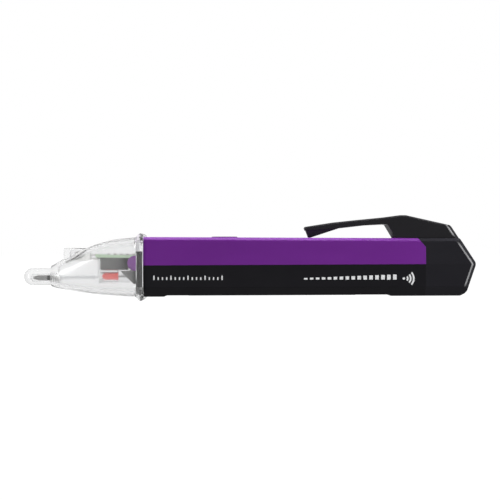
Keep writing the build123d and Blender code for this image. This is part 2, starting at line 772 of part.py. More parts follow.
nodes = {
    "nose_cone": nose_cone(),
    "sensor_pin": sensor_pin(),
    "sensor_spring": sensor_spring(),
    "sensor_lead": sensor_lead(),
    "lead_sleeve": lead_sleeve(),
    "alarm_led": alarm_led(),
    "alarm_led_leads": Compound(children=alarm_led_leads()),
    "led_carrier": led_carrier(),
    "torch_led": torch_led(),
    "torch_led_leads": Compound(children=torch_led_leads()),
    "buzzer": buzzer(),
    "circuit_board": circuit_board(),
    "board_chip": board_chip(),
    "board_passives": Compound(children=board_passives()),
    "power_switch": power_switch(),
    "switch_plunger": switch_plunger(),
    "power_button": power_button(),
    "button_gasket": button_gasket(),
    "upper_shell": upper_shell(blank),
    "lower_shell": lower_shell(blank),
    "inner_chassis": inner_chassis(),
    "board_screw_front": board_screw(SCREW_FRONT_X, 1),
    "board_screw_rear": board_screw(SCREW_REAR_X, -1),
    "positive_contact": positive_contact(),
    "negative_strip": negative_strip(),
    "battery_front": cell(CELL_FRONT_X),
    "battery_rear": cell(CELL_FRONT_X + CELL_LENGTH),
    "rating_label": rating_label(),
    "tail_cap": cap,
    "spring_plate": spring_plate(),
    "battery_spring": battery_spring(),
    "clip_block": clip_block(cap),
    "clip_arm": clip_arm(),
    "clip_screw": clip_screw(),
}

for name, shape in nodes.items():
    export_step(shape, f"parts/{name}.step")
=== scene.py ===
import bpy
import bmesh
import math
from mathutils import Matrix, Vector


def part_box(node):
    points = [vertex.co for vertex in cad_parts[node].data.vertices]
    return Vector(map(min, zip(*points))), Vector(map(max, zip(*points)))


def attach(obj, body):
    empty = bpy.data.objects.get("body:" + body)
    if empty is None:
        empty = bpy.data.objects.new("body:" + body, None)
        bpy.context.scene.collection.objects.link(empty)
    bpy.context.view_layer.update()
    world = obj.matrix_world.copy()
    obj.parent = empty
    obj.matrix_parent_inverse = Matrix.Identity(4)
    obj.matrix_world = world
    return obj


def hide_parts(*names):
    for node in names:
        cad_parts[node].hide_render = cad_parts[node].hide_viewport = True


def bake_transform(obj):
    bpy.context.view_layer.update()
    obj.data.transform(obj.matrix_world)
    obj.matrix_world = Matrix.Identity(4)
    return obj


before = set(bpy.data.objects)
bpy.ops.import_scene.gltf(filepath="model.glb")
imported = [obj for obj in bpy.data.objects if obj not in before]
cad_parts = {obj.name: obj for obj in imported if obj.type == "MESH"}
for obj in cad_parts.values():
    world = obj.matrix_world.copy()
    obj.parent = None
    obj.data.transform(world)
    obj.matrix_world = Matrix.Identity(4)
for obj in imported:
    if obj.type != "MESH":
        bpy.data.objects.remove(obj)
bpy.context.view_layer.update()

MM = 0.001
scene = bpy.context.scene

# Stations along X on the object, in millimetres: painted highlight rings at the front and rear ends of
# the neck inside the guard, a painted glow on the grip's front face, the pin's crimp, and the outline of
# the pocket clip.
FRONT_HIGHLIGHT_LINE = (-37.42, -37.1)
REAR_HIGHLIGHT_LINE = (-35.7, -35.12)
GRIP_FACE = (-35.12, -35.02)
PAINTED_HIGHLIGHT_END = -35.03
PIN_CRIMP = (-68.2, -67.05)
CLIP_TIP = 18.8
CLIP_CREST = 52.9
CLIP_REAR = 68.0

# Painted glow (emission) on the shells round the neck inside the clear guard: from, to, strength.
NECK_PAINTED_GLOW = ((*FRONT_HIGHLIGHT_LINE, 0.45), (*REAR_HIGHLIGHT_LINE, 0.62), (*GRIP_FACE, 0.25))


# ---------------------------------------------------------------- node helpers


class Mat:
    """A node material with a Principled shader and short calls for its inputs."""

    def __init__(self, name):
        self.mat = bpy.data.materials.new(name)
        self.mat.use_nodes = True
        self.tree = self.mat.node_tree
        self.tree.nodes.clear()
        self.out = self.node("ShaderNodeOutputMaterial")
        self.bsdf = self.node("ShaderNodeBsdfPrincipled")
        self.link(self.bsdf.outputs[0], self.out.inputs["Surface"])
        self.coord = self.node("ShaderNodeTexCoord").outputs["Object"]

    def node(self, kind, **values):
        made = self.tree.nodes.new(kind)
        for key, value in values.items():
            setattr(made, key, value)
        return made

    def link(self, a, b):
        self.tree.links.new(a, b)

    def set(self, **values):
        for key, value in values.items():
            self.bsdf.inputs[key.replace("_", " ")].default_value = value

    def noise(self, scale, detail=2.0, rough=0.5, stretch=None):
        made = self.node("ShaderNodeTexNoise")
        made.inputs["Scale"].default_value = scale
        made.inputs["Detail"].default_value = detail
        made.inputs["Roughness"].default_value = rough
        source = self.coord
        if stretch:
            source = self.mapped(stretch)
        self.link(source, made.inputs["Vector"])
        return made.outputs["Fac"]

    def mapped(self, scale):
        made = self.node("ShaderNodeMapping")
        made.inputs["Scale"].default_value = scale
        self.link(self.coord, made.inputs["Vector"])
        return made.outputs["Vector"]

    def cells(self, scale):
        made = self.node("ShaderNodeTexVoronoi")
        made.inputs["Scale"].default_value = scale
        self.link(self.coord, made.inputs["Vector"])
        return made.outputs["Distance"]

    def ramp(self, value, low, high, out_low=0.0, out_high=1.0):
        made = self.node("ShaderNodeMapRange")
        made.inputs["From Min"].default_value = low
        made.inputs["From Max"].default_value = high
        made.inputs["To Min"].default_value = out_low
        made.inputs["To Max"].default_value = out_high
        self.link(value, made.inputs["Value"])
        return made.outputs["Result"]

    def math(self, operation, a, b=None):
        made = self.node("ShaderNodeMath", operation=operation)
        for socket, value in zip(made.inputs, (a, b)):
            if value is None:
                continue
            if isinstance(value, (int, float)):
                socket.default_value = value
            else:
                self.link(value, socket)
        return made.outputs[0]

    def mix(self, factor, a, b):
        made = self.node("ShaderNodeMix", data_type="RGBA")
        for socket, value in ((made.inputs["Factor"], factor), (made.inputs[6], a), (made.inputs[7], b)):
            if isinstance(value, (int, float)):
                socket.default_value = value
            elif isinstance(value, tuple):
                socket.default_value = (*value, 1.0)
            else:
                self.link(value, socket)
        return made.outputs[2]

    def axis(self, name):
        made = self.node("ShaderNodeSeparateXYZ")
        self.link(self.coord, made.inputs[0])
        return made.outputs[name]

    def facing(self, name):
        geometry = self.node("ShaderNodeNewGeometry")
        made = self.node("ShaderNodeSeparateXYZ")
        self.link(geometry.outputs["Normal"], made.inputs[0])
        return made.outputs[name]

    def total(self, values):
        result = values[0]
        for value in values[1:]:
            result = self.math("ADD", result, value)
        return result

    def rounded(self, radius):
        """Normal with the sharp edges rounded off."""
        bevel = self.node("ShaderNodeBevel", samples=6)
        bevel.inputs["Radius"].default_value = radius
        return bevel.outputs[0]

    def edges(self, radius):
        """White on sharp edges, black on flats, from the rounded-corner normal."""
        geometry = self.node("ShaderNodeNewGeometry")
        dot = self.node("ShaderNodeVectorMath", operation="DOT_PRODUCT")
        self.link(self.rounded(radius), dot.inputs[0])
        self.link(geometry.outputs["Normal"], dot.inputs[1])
        return self.ramp(dot.outputs["Value"], 1.0, 0.86)

    def bump(self, height, strength, distance, radius=0.0):
        made = self.node("ShaderNodeBump")
        made.inputs["Strength"].default_value = strength
        made.inputs["Distance"].default_value = distance
        self.link(height, made.inputs["Height"])
        if radius:
            self.link(self.rounded(radius), made.inputs["Normal"])
        self.link(made.outputs[0], self.bsdf.inputs["Normal"])

    def color(self, value):
        self.link(value, self.bsdf.inputs["Base Color"])

    def rough(self, value):
        self.link(value, self.bsdf.inputs["Roughness"])


def scaled(color, factor, lift=0.0):
    """The color times a factor with a small lift, at most white."""
    return tuple(min(1.0, c * factor + lift) for c in color)


def moulded(name, color, rough, grain=0.35, radius=0.12 * MM, wear_and_sheen=0.35, level=0.5, matt=None, painted_highlight_rim=None,
            front=None):
    """Moulded plastic: spark-eroded grain, faint flow marks and paler edges, partly wear and partly a
    painted edge highlight.

    matt = (axis, from, to, left) paints shade: it dulls the reflection on the faces that turn to that side.
    rim = (planes, inset, y, low, high) paints a pale highlight line that follows the planes, seen on the
    side faces, and polishes it.
    front = colors at stations along X for the part that reaches into the clear nose: painted light and
    shade, with a painted glow (emission) at both ends of the neck.
    """
    m = Mat(name)
    flow = m.noise(38.0, detail=3.0, rough=0.6, stretch=(0.35, 1.0, 1.0))
    patch = m.noise(160.0, detail=4.0, rough=0.65)
    body = m.mix(m.ramp(flow, 0.34, 0.68), scaled(color, 0.90), scaled(color, 1.09, 0.0006))
    # Paler edges: partly wear, partly a painted edge highlight.
    body = m.mix(m.math("MULTIPLY", m.edges(radius * 1.6), wear_and_sheen), body, scaled(color, 1.5, 0.012))
    # Painted light and shade on the part inside the clear nose, and a painted glow (emission) at both ends
    # of the neck.
    if front:
        body = painted_nose_light(m, front, body)
        glow = m.total([band(m, *place) for place in NECK_PAINTED_GLOW])
        m.link(glow, m.bsdf.inputs["Emission Strength"])
    fine = m.noise(5200.0, detail=2.0, rough=0.6)
    pits = m.cells(3600.0)
    height = m.math("ADD", fine, m.math("MULTIPLY", pits, 0.6))
    m.bump(height, grain, 0.012 * MM, radius)
    grainy = m.ramp(patch, 0.25, 0.78, rough - 0.05, rough + 0.06)
    gleam = m.ramp(patch, 0.25, 0.78, level * 0.9, level * 1.1)
    # Painted shade: weaker reflection on the faces that turn to one side.
    if matt:
        axis, start, end, left = matt
        gleam = m.math("MULTIPLY", gleam, m.ramp(m.facing(axis), start, end, 1.0, left))
    # Painted highlight: a pale grey line along the bevel's inner edge; its lower roughness and stronger
    # reflection are a polish.
    if painted_highlight_rim:
        line = painted_highlight_line(m, *painted_highlight_rim)
        body = m.mix(m.math("MULTIPLY", line, m.ramp(patch, 0.2, 0.8, 0.75, 1.0)), body, (0.42, 0.42, 0.43))
        grainy = m.math("MULTIPLY", grainy, m.ramp(line, 0.0, 1.0, 1.0, 0.6))
        gleam = m.math("ADD", gleam, m.math("MULTIPLY", line, 0.5))
    m.color(body)
    m.rough(grainy)
    m.link(gleam, m.bsdf.inputs["Specular IOR Level"])
    return m.mat


def painted_nose_light(m, stations, body):
    """Color that blends from station to station along X and ends in the body's color: painted light and
    shade on the part inside the clear nose.
    """
    last_x, color = stations[0]
    body_x = stations[-1][0] + 0.04
    for x, following in (*stations[1:], (body_x, body)):
        color = m.mix(m.ramp(m.axis("X"), last_x * MM, x * MM), color, following)
        last_x = x
    return color


def band(m, start, end, height):
    """Value of height between two stations along X, in millimetres, with soft sides."""
    rise = m.ramp(m.axis("X"), (start - 0.03) * MM, (start + 0.03) * MM, 0.0, height)
    return m.math("MULTIPLY", rise, m.ramp(m.axis("X"), (end + 0.02) * MM, (end - 0.02) * MM))


def painted_highlight_line(m, planes, inset, y, low, high):
    """Mask for the narrow painted highlight line where a side face meets the bevel of a faceted end.

    Each plane is a point in X and Z and its outward direction.
    """
    depth = None
    for x0, z0, nx, nz in planes:
        across = m.math("MULTIPLY", m.math("SUBTRACT", m.axis("X"), x0 * MM), nx)
        up = m.math("MULTIPLY", m.math("SUBTRACT", m.axis("Z"), z0 * MM), nz)
        away = m.math("ADD", across, up)
        depth = away if depth is None else m.math("MAXIMUM", depth, away)
    off = m.math("ABSOLUTE", m.math("ADD", depth, inset * MM))
    core = 0.16 * MM
    fade = 0.34 * MM
    line = m.ramp(off, fade, core)
    for value, start, end in (
        (m.math("ABSOLUTE", m.axis("Y")), y - 0.1, y + 0.1),
        (m.axis("Z"), low - 0.5, low + 0.9),
        (m.axis("Z"), high + 0.4, high - 0.8),
    ):
        line = m.math("MULTIPLY", line, m.ramp(value, start * MM, end * MM))
    return line


def metal(name, color, rough, brush=(1.0, 1.0, 1.0), radius=0.05 * MM, tarnish=0.25, crimp=None):
    """Metal with fine tool marks along one direction and slight tarnish.

    crimp = (start, end) darkens a ring between two stations along X and brightens the end behind it with
    painted light.
    """
    m = Mat(name)
    lines = m.noise(2600.0, detail=3.0, rough=0.6, stretch=brush)
    stain = m.noise(420.0, detail=4.0, rough=0.6)
    surface = m.mix(m.ramp(stain, 0.35, 0.75), color, scaled(color, 1.0 - tarnish))
    if crimp:
        start, end = crimp
        surface = m.mix(band(m, start, end, 0.85), surface, (0.07, 0.07, 0.07))
        # Painted light: the end behind the crimp, inside the clear nose, is painted near white.
        behind = m.ramp(m.axis("X"), end * MM, (end + 0.05) * MM)
        surface = m.mix(behind, surface, (0.92, 0.92, 0.92))
    m.color(surface)
    m.rough(m.ramp(lines, 0.2, 0.8, rough * 0.75, rough * 1.35))
    m.bump(lines, 0.25, 0.006 * MM, radius)
    m.set(Metallic=1.0)
    return m.mat


def clear_part(name, color, rough, ior, clarity):
    """Clear moulded plastic, slightly milky, with its values on the shader's own sockets."""
    m = Mat(name)
    m.set(Base_Color=(*color, 1.0), Roughness=rough, IOR=ior, Transmission_Weight=clarity)
    return m.mat


# ---------------------------------------------------------------- materials

# Painted highlight colours for the lines at the ends of the neck.
PAINTED_HIGHLIGHT_GREY = (0.90, 0.90, 0.90)
PAINTED_HIGHLIGHT_PURPLE = (0.90, 0.86, 0.92)
# Painted light and shade for the purple shell inside the clear nose: paler towards the front, darker in the
# guard, and a painted highlight at the rear of the neck.
PURPLE_NOSE_PAINTED_LIGHT = (
    (-40.6, (0.40, 0.13, 0.53)),
    (-37.5, (0.33, 0.09, 0.45)),
    (-36.0, (0.20, 0.05, 0.27)),
    (-35.8, (0.10, 0.03, 0.14)),
    (REAR_HIGHLIGHT_LINE[0], PAINTED_HIGHLIGHT_PURPLE),
    (PAINTED_HIGHLIGHT_END, PAINTED_HIGHLIGHT_PURPLE),
)
# Painted light and shade for the black shell inside the clear nose: pale grey towards the front, dark in
# the guard, and painted highlights at both ends of the neck.
BLACK_NOSE_PAINTED_LIGHT = (
    (-42.6, (0.52, 0.52, 0.51)),
    (-39.0, (0.28, 0.28, 0.275)),
    (-37.5, (0.07, 0.07, 0.07)),
    (FRONT_HIGHLIGHT_LINE[0], PAINTED_HIGHLIGHT_GREY),
    (FRONT_HIGHLIGHT_LINE[1], PAINTED_HIGHLIGHT_GREY),
    (-37.0, (0.26, 0.26, 0.25)),
    (-36.5, (0.10, 0.10, 0.097)),
    (-36.0, (0.012, 0.012, 0.012)),
    (-35.8, (0.03, 0.03, 0.03)),
    (REAR_HIGHLIGHT_LINE[0], PAINTED_HIGHLIGHT_GREY),
    (PAINTED_HIGHLIGHT_END, PAINTED_HIGHLIGHT_GREY),
)
TAIL_BEVELS = ((75.85, 13.25, 0.8346, 0.5508), (76.0, 11.85, 0.946, -0.323))
CLIP_BEVELS = ((CLIP_REAR, 25.4, 0.8335, 0.5524),)

purple = moulded("purple_plastic", (0.147, 0.0205, 0.245), 0.45, wear_and_sheen=0.10, level=0.3, front=PURPLE_NOSE_PAINTED_LIGHT)
purple_key = moulded("purple_key", (0.036, 0.008, 0.066), 0.45, grain=0.22, wear_and_sheen=0.08, level=0.15)
black = moulded("black_plastic", (0.0110, 0.0105, 0.0128), 0.46, wear_and_sheen=0.10, level=0.22, front=BLACK_NOSE_PAINTED_LIGHT)
# Painted shade on the tail's upward faces under the clip, and a painted highlight line along its rear
# bevels.
tail_black = moulded("tail_plastic", (0.0163, 0.0158, 0.0195), 0.44, radius=0.15 * MM, wear_and_sheen=0.2, level=0.22,
                     matt=("Z", 0.35, 0.65, 0.1), painted_highlight_rim=(TAIL_BEVELS, 1.3, 9.3, 5.2, 19.6))
# Painted shade on the clip's forward faces, and a painted highlight line along its rear bevel.
clip_black = moulded("clip_plastic", (0.0180, 0.0175, 0.0195), 0.40, radius=0.15 * MM, wear_and_sheen=0.3, level=0.25,
                     matt=("X", -0.3, -0.6, 0.1), painted_highlight_rim=(CLIP_BEVELS, 1.15, 6.3, 22.0, 25.4))
tray_black = moulded("tray_plastic", (0.018, 0.018, 0.019), 0.5, wear_and_sheen=0.2)
# Mid grey, lighter than the sounder's own dark plastic: painted light for the light that reaches it through
# the clear nose.
sounder = moulded("sounder_plastic", (0.31, 0.308, 0.301), 0.5, grain=0.25, wear_and_sheen=0.3)
switch_black = moulded("switch_plastic", (0.02, 0.02, 0.022), 0.45, grain=0.2)
white_key = moulded("plunger_plastic", (0.68, 0.67, 0.62), 0.4, grain=0.2, wear_and_sheen=0.1)
rubber = moulded("seal_rubber", (0.010, 0.010, 0.011), 0.7, grain=0.5, wear_and_sheen=0.1, level=0.3)

steel_pin = metal("pin_steel", (0.50, 0.495, 0.49), 0.45, (0.15, 1.0, 1.0), crimp=PIN_CRIMP)
bright_spring = metal("bright_spring", (0.90, 0.90, 0.89), 0.30)
spring_steel = metal("spring_steel", (0.56, 0.56, 0.55), 0.28)
tinned = metal("tinned_wire", (0.62, 0.61, 0.58), 0.34)
screw_zinc = metal("screw_zinc", (0.55, 0.55, 0.52), 0.33)
nickel = metal("contact_nickel", (0.62, 0.59, 0.52), 0.26, (0.2, 1.0, 1.0))

clear_shell = clear_part("clear_polycarbonate", (0.985, 0.987, 0.990), 0.16, 1.45, 0.960)
clear_holder = clear_part("clear_holder", (0.96, 0.965, 0.97), 0.12, 1.25, 0.94)
clear_lamp = clear_part("clear_lamp", (0.97, 0.97, 0.95), 0.06, 1.45, 0.97)
insulation = clear_part("lead_insulation", (0.96, 0.96, 0.965), 0.35, 1.05, 0.84)
soft_tube = clear_part("silicone_sleeve", (0.98, 0.982, 0.985), 0.3, 1.03, 0.975)


def red_lamp_material():
    """Tinted lamp resin, slightly cloudy, with a faint painted glow."""
    m = Mat("red_lamp")
    cloud = m.noise(900.0, detail=3.0, rough=0.6)
    m.color(m.mix(m.ramp(cloud, 0.35, 0.7), (0.86, 0.045, 0.04), (0.95, 0.10, 0.08)))
    m.rough(m.ramp(cloud, 0.2, 0.8, 0.12, 0.22))
    m.set(Subsurface_Weight=0.5, Subsurface_Radius=(0.8, 0.2, 0.15), Subsurface_Scale=MM)
    # Painted glow: emission that brightens the resin.
    m.set(Emission_Color=(1.0, 0.20, 0.18, 1.0), Emission_Strength=0.49, Coat_Weight=0.5)
    m.bump(cloud, 0.1, 0.01 * MM)
    return m.mat


def board_material():
    """Green solder mask with raised tracks on the faces, pale laminate with a faint painted glow (emission)
    on the edges.
    """
    m = Mat("board_green")
    tracks = m.node("ShaderNodeTexWave", wave_type="BANDS", bands_direction="Y")
    tracks.inputs["Scale"].default_value = 210.0
    tracks.inputs["Distortion"].default_value = 2.2
    tracks.inputs["Detail"].default_value = 1.0
    m.link(m.mapped((0.25, 1.0, 1.0)), tracks.inputs["Vector"])
    copper = m.ramp(tracks.outputs["Fac"], 0.62, 0.66)
    mask = m.mix(copper, (0.012, 0.115, 0.040), (0.030, 0.205, 0.075))
    vias = m.ramp(m.cells(430.0), 0.14, 0.10)
    mask = m.mix(vias, mask, (0.62, 0.56, 0.42))
    weave = m.noise(1900.0, detail=2.0, rough=0.6, stretch=(1.0, 1.0, 4.0))
    edge = m.mix(m.ramp(weave, 0.35, 0.65), (0.62, 0.80, 0.58), (0.72, 0.90, 0.68))
    flat = m.math("GREATER_THAN", m.math("ABSOLUTE", m.facing("Z")), 0.5)
    m.color(m.mix(flat, edge, mask))
    # Painted glow: emission on the laminate edges brightens them beyond their colour.
    m.link(edge, m.bsdf.inputs["Emission Color"])
    m.link(m.ramp(flat, 0.0, 1.0, 0.18, 0.0), m.bsdf.inputs["Emission Strength"])
    m.rough(m.ramp(weave, 0.2, 0.8, 0.3, 0.42))
    m.bump(copper, 0.5, 0.035 * MM)
    return m.mat


def chip_material():
    """Matt epoxy package; its legs, low down and outside, are tinned."""
    m = Mat("chip_black")
    speck = m.noise(2400.0, detail=3.0, rough=0.7)
    body = m.mix(m.ramp(speck, 0.4, 0.7), (0.014, 0.014, 0.015), (0.028, 0.028, 0.03))
    body_half_width = 1.97 * MM
    outside = m.math("GREATER_THAN", m.math("ABSOLUTE", m.axis("Y")), body_half_width)
    m.color(m.mix(outside, body, (0.6, 0.6, 0.58)))
    m.link(outside, m.bsdf.inputs["Metallic"])
    m.rough(m.ramp(speck, 0.2, 0.8, 0.42, 0.6))
    m.bump(speck, 0.3, 0.01 * MM)
    return m.mat


def passive_material():
    """Small chip parts: brown or black bodies with tinned ends."""
    m = Mat("chip_ceramic")
    blocks = m.noise(260.0, detail=0.0, rough=0.5, stretch=(1.0, 0.2, 0.2))
    body = m.mix(m.math("GREATER_THAN", blocks, 0.5), (0.020, 0.020, 0.022), (0.32, 0.21, 0.12))
    row_start = 2.2 * MM
    half_length = 0.8 * MM
    end_length = 0.22 * MM
    from_row = m.math("SUBTRACT", m.math("ABSOLUTE", m.axis("Y")), row_start)
    ends = m.math("LESS_THAN", m.math("PINGPONG", from_row, half_length), end_length)
    m.color(m.mix(ends, body, (0.66, 0.65, 0.62)))
    m.link(ends, m.bsdf.inputs["Metallic"])
    grit = m.noise(2600.0, detail=2.0)
    m.rough(m.ramp(grit, 0.2, 0.8, 0.32, 0.5))
    m.bump(grit, 0.2, 0.008 * MM)
    return m.mat


def cell_material(name, node):
    """Dry cell: bare metal ends, two-tone printed sleeve with a fine seam."""
    m = Mat(name)
    low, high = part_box(node)
    along = m.math("SUBTRACT", m.axis("X"), low.x)
    y = m.axis("Y")
    z = m.math("SUBTRACT", m.axis("Z"), (low.z + high.z) / 2)
    across = m.math("SQRT", m.math("ADD", m.math("MULTIPLY", y, y), m.math("MULTIPLY", z, z)))
    metal_radius = 4.82 * MM
    copper_length = 12.5 * MM
    seam = 0.35 * MM
    sleeve = m.math("GREATER_THAN", across, metal_radius)
    dark_band = m.math("GREATER_THAN", along, copper_length)
    line = m.math("LESS_THAN", m.math("ABSOLUTE", m.math("SUBTRACT", along, copper_length)), seam)
    printed = m.mix(dark_band, (0.52, 0.25, 0.09), (0.022, 0.024, 0.03))
    printed = m.mix(line, printed, (0.6, 0.6, 0.58))
    speck = m.noise(700.0, detail=3.0, rough=0.6)
    printed = m.mix(m.math("MULTIPLY", speck, 0.16), printed, (0.5, 0.5, 0.5))
    m.color(m.mix(sleeve, (0.66, 0.65, 0.62), printed))
    m.link(m.ramp(sleeve, 0.0, 1.0, 1.0, 0.15), m.bsdf.inputs["Metallic"])
    m.rough(m.ramp(speck, 0.2, 0.8, 0.24, 0.36))
    m.bump(speck, 0.12, 0.01 * MM)
    return m.mat


def label_material():
    """Blank satin film with a thin printed border."""
    m = Mat("label_film")
    low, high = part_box("rating_label")
    centre = (low + high) / 2
    size = high - low
    dx = m.math("ABSOLUTE", m.math("SUBTRACT", m.axis("X"), centre.x))
    dy = m.math("ABSOLUTE", m.axis("Y"))
    from_edge = m.math("MINIMUM", m.math("SUBTRACT", size.x / 2, dx), m.math("SUBTRACT", size.y / 2, dy))
    inset = 0.8 * MM
    half_line = 0.12 * MM
    border = m.math("LESS_THAN", m.math("ABSOLUTE", m.math("SUBTRACT", from_edge, inset)), half_line)
    brush = m.noise(1500.0, detail=3.0, rough=0.6, stretch=(0.06, 1.0, 1.0))
    film = m.mix(m.ramp(brush, 0.3, 0.7), (0.40, 0.41, 0.42), (0.50, 0.51, 0.52))
    m.color(m.mix(border, film, (0.03, 0.03, 0.032)))
    m.rough(m.ramp(brush, 0.2, 0.8, 0.34, 0.46))
    m.bump(brush, 0.15, 0.006 * MM)
    m.set(Metallic=0.3)
    return m.mat


def ink_material():
    """Pad-printed white ink with tiny pinholes and a soft sheen."""
    m = Mat("white_ink")
    speck = m.noise(2600.0, detail=3.0, rough=0.7)
    m.color(m.mix(m.ramp(speck, 0.30, 0.55), (0.72, 0.72, 0.73), (0.92, 0.93, 0.94)))
    m.rough(m.ramp(speck, 0.2, 0.8, 0.42, 0.56))
    m.bump(speck, 0.2, 0.006 * MM)
    return m.mat


finishes = {
    "nose_cone": clear_shell,
    "sensor_pin": steel_pin,
    "sensor_spring": bright_spring,
    "sensor_lead": insulation,
    "lead_sleeve": soft_tube,
    "alarm_led": red_lamp_material(),
    "alarm_led_leads": tinned,
    "led_carrier": clear_holder,
    "torch_led": clear_lamp,
    "torch_led_leads": tinned,
    "buzzer": sounder,
    "circuit_board": board_material(),
    "board_chip": chip_material(),
    "board_passives": passive_material(),
    "power_switch": switch_black,
    "switch_plunger": white_key,
    "power_button": purple_key,
    "button_gasket": rubber,
    "upper_shell": purple,
    "lower_shell": black,
    "inner_chassis": tray_black,
    "board_screw_front": screw_zinc,
    "board_screw_rear": screw_zinc,
    "positive_contact": nickel,
    "negative_strip": nickel,
    "battery_front": cell_material("cell_front", "battery_front"),
    "battery_rear": cell_material("cell_rear", "battery_rear"),
    "rating_label": label_material(),
    "tail_cap": tail_black,
    "spring_plate": nickel,
    "battery_spring": spring_steel,
    "clip_block": clip_black,
    "clip_arm": clip_black,
    "clip_screw": screw_zinc,
}
for node, material in finishes.items():
    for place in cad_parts[node].material_slots:
        place.material = material


# ---------------------------------------------------------------- mesh helpers


def made_object(name, bm, material, smooth=False):
    """Object made from the finished bmesh, with one material."""
    mesh = bpy.data.meshes.new(name)
    bm.to_mesh(mesh)
    bm.free()
    mesh.materials.append(material)
    for face in mesh.polygons:
        face.use_smooth = smooth
    made = bpy.data.objects.new(name, mesh)
    scene.collection.objects.link(made)
    return made


def add_bevel(obj, name, limit, width, segments):
    """Bevel modifier on the edges that the limit method picks."""
    bevel = obj.modifiers.new(name, "BEVEL")
    bevel.limit_method = limit
    bevel.width = width
    bevel.segments = segments
    return bevel


# ---------------------------------------------------------------- pocket clip, one moulding


def along(points, step):
    """The same closed outline with long runs divided into pieces no longer than step."""
    out = []
    for (x0, z0), (x1, z1) in zip(points, points[1:] + points[:1]):
        count = max(1, math.ceil(math.hypot(x1 - x0, z1 - z0) / step))
        for index in range(count):
            share = index / count
            out.append((x0 + (x1 - x0) * share, z0 + (z1 - z0) * share))
    return out


def clip_half_width(x):
    """Half-width of the tapered arm and of the straight block behind it, in millimetres."""
    return min(6.8, 3.6 + (x - 10.0) * 0.0854)


def under_top_edges(x):
    """Height just below the clip's upper edges, in millimetres."""
    arm = 24.75 + 0.075 * (min(x, 50.0) - 18.0)
    return arm - 0.2409 * max(0.0, x - CLIP_CREST)


def closed_bar(bm, rows):
    """Closed solid across the pen from side points with their half-widths."""
    near = [bm.verts.new((x * MM, -w * MM, z * MM)) for x, z, w in rows]
    far = [bm.verts.new((x * MM, w * MM, z * MM)) for x, z, w in rows]
    bm.faces.new(near)
    bm.faces.new(list(reversed(far)))
    for index in range(len(rows)):
        following = (index + 1) % len(rows)
        bm.faces.new((near[index], far[index], far[following], near[following]))


def weigh_edges(bm):
    """Bevel weight of the clip's edges: full down the rear, small along the top and across both ends."""
    weight = bm.edges.layers.float.new("bevel_weight_edge")
    at_ends = 0.35
    at_rear = 1.0
    along_top = 0.42
    for edge in bm.edges:
        a, b = (v.co / MM for v in edge.verts)
        middle = (a + b) / 2
        if a.y * b.y < 0:
            if min(abs(middle.x - CLIP_TIP), abs(middle.x - CLIP_REAR)) < 0.1:
                edge[weight] = at_ends
        elif middle.x > CLIP_REAR + 0.05 and middle.z > 21.2:
            edge[weight] = at_rear
        elif middle.z > under_top_edges(middle.x):
            edge[weight] = along_top


def make_clip():
    """Wedge block and flat tapered arm in one moulding, with a narrower hook under the tip."""
    top = [(CLIP_TIP, 24.85), (24.2, 25.7), (28.5, 26.35), (34.6, 27.0), (44.9, 28.0), (51.0, 28.8),
           (CLIP_CREST, 28.8), (CLIP_REAR, 25.4)]
    rear = [(70.9, 20.99)]
    foot = [(57.7, 21.05), (57.7, 21.14), (49.45, 21.16)]
    under = [(46.75, 25.72), (45.9, 25.82), (39.7, 25.5), (30.6, 24.45), (19.35, 23.65)]
    hook = [(19.5, 23.8, 0.5), (20.35, 21.36, 1.5), (21.2, 21.31, 1.5), (30.4, 24.35, 0.6),
            (30.0, 24.6, 0.5)]
    bm = bmesh.new()
    closed_bar(bm, [(x, z, clip_half_width(x)) for x, z in along(top + rear + foot + under, 2.0)])
    closed_bar(bm, [(x, z, clip_half_width(x) - inset) for x, z, inset in hook])
    bmesh.ops.recalc_face_normals(bm, faces=bm.faces)
    weigh_edges(bm)
    clip = made_object("pocket_clip", bm, clip_black, smooth=True)
    add_bevel(clip, "cut", "WEIGHT", 1.15 * MM, 1)
    soft = add_bevel(clip, "soft", "ANGLE", 0.14 * MM, 2)
    soft.angle_limit = math.radians(14)
    soft.harden_normals = True
    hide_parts("clip_block", "clip_arm")
    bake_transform(clip)


make_clip()


# ---------------------------------------------------------------- printed marks


def side_y(z):
    """Half-width of the lower side facet at height z, in millimetres."""
    foot_z, foot_y = 4.6, 9.6
    seam_z, seam_y = 12.1, 10.0
    return foot_y + (seam_y - foot_y) * (z - foot_z) / (seam_z - foot_z)


def plate(bm, corners):
    """Thin ink patch on the near side facet from corners in X and Z."""
    raised = 0.035
    sunk = 0.02
    outer = []
    inner = []
    for x, z in corners:
        y = side_y(z)
        outer.append(bm.verts.new((x * MM, -(y + raised) * MM, z * MM)))
        inner.append(bm.verts.new((x * MM, -(y - sunk) * MM, z * MM)))
    bm.faces.new(outer)
    bm.faces.new(list(reversed(inner)))
    for index in range(len(corners)):
        following = (index + 1) % len(corners)
        bm.faces.new((outer[index], inner[index], inner[following], outer[following]))


def upright(bm, x, z, width, height):
    """Rectangular patch from its lower front corner."""
    plate(bm, [(x, z), (x + width, z), (x + width, z + height), (x, z + height)])


def ring_mark(bm, x, z, outer_radius, inner_radius, start, end):
    """Part of a ring, as short straight patches."""
    steps = 14
    for index in range(steps):
        a = math.radians(start + (end - start) * index / steps)
        b = math.radians(start + (end - start) * (index + 1) / steps)
        plate(bm, [
            (x + inner_radius * math.cos(a), z + inner_radius * math.sin(a)),
            (x + outer_radius * math.cos(a), z + outer_radius * math.sin(a)),
            (x + outer_radius * math.cos(b), z + outer_radius * math.sin(b)),
            (x + inner_radius * math.cos(b), z + inner_radius * math.sin(b)),
        ])


def tick_row(bm):
    """Even ticks near the front, every fourth one taller."""
    for index in range(17):
        upright(bm, -31.6 + index * 1.42, 7.1, 0.42, 1.45 if index % 4 == 0 else 0.95)


